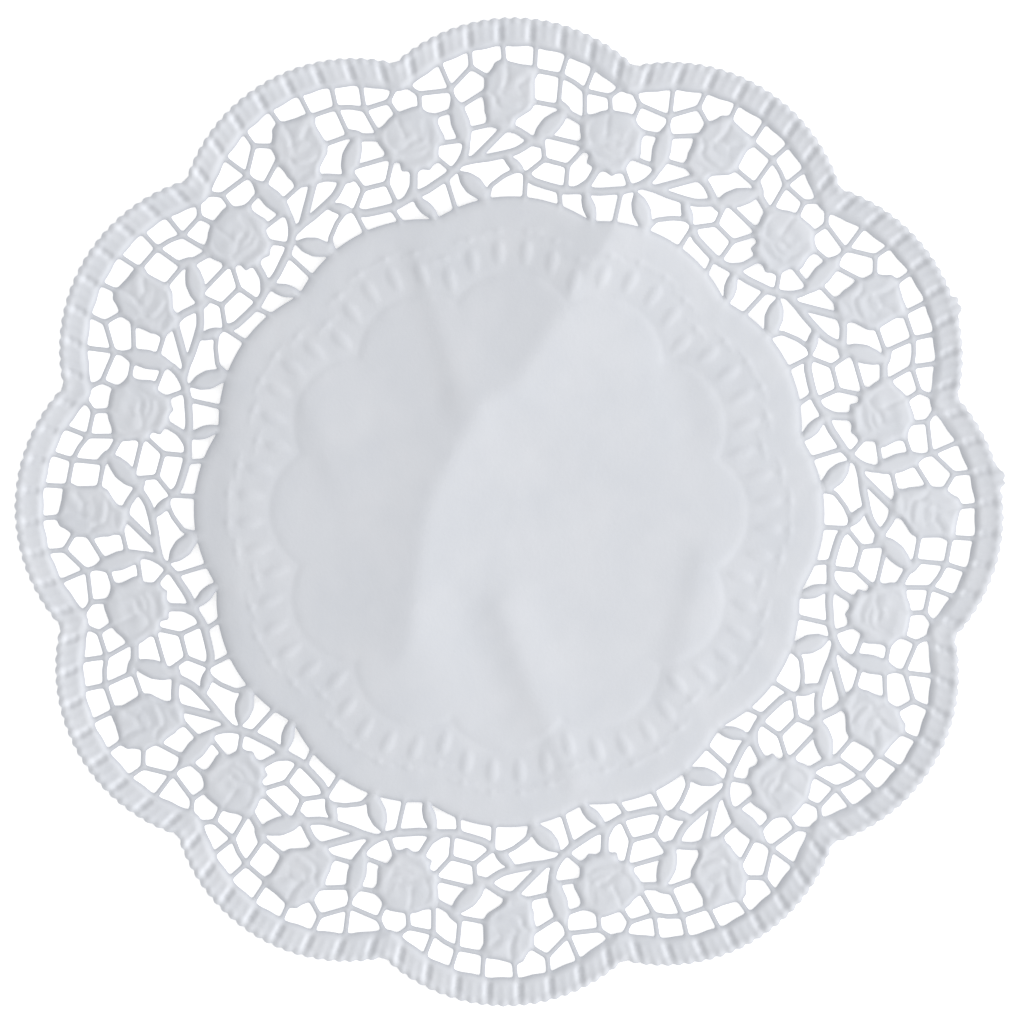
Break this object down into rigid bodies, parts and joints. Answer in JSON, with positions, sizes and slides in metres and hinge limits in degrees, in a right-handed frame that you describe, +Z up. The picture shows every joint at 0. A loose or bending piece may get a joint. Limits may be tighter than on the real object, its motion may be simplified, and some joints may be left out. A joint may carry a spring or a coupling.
{
  "type": "paper lace doily",
  "caption": "Round white paper doily with a scalloped beaded border, a die-cut band of roses, leaves and bars, and a plain embossed centre.",
  "frame": {"origin": "middle of the flat underside", "axes": "+Z up out of the pressed side, +X through the tip of one lobe"},
  "size_m": [0.3, 0.3, 0.001],
  "materials": {
    "paper": "matte"
  },
  "bodies": {
    "root": {"paper_sheet": "paper", "border_beads": "paper", "outer_roses": "paper", "inner_roses": "paper", "long_leaves": "paper", "short_leaves": "paper", "buds": "paper", "vine_stems": "paper", "lace_bars": "paper", "middle_field": "paper", "drop_ring": "paper", "cap_ring": "paper", "garland_line": "paper"}
  },
  "joints": []
}
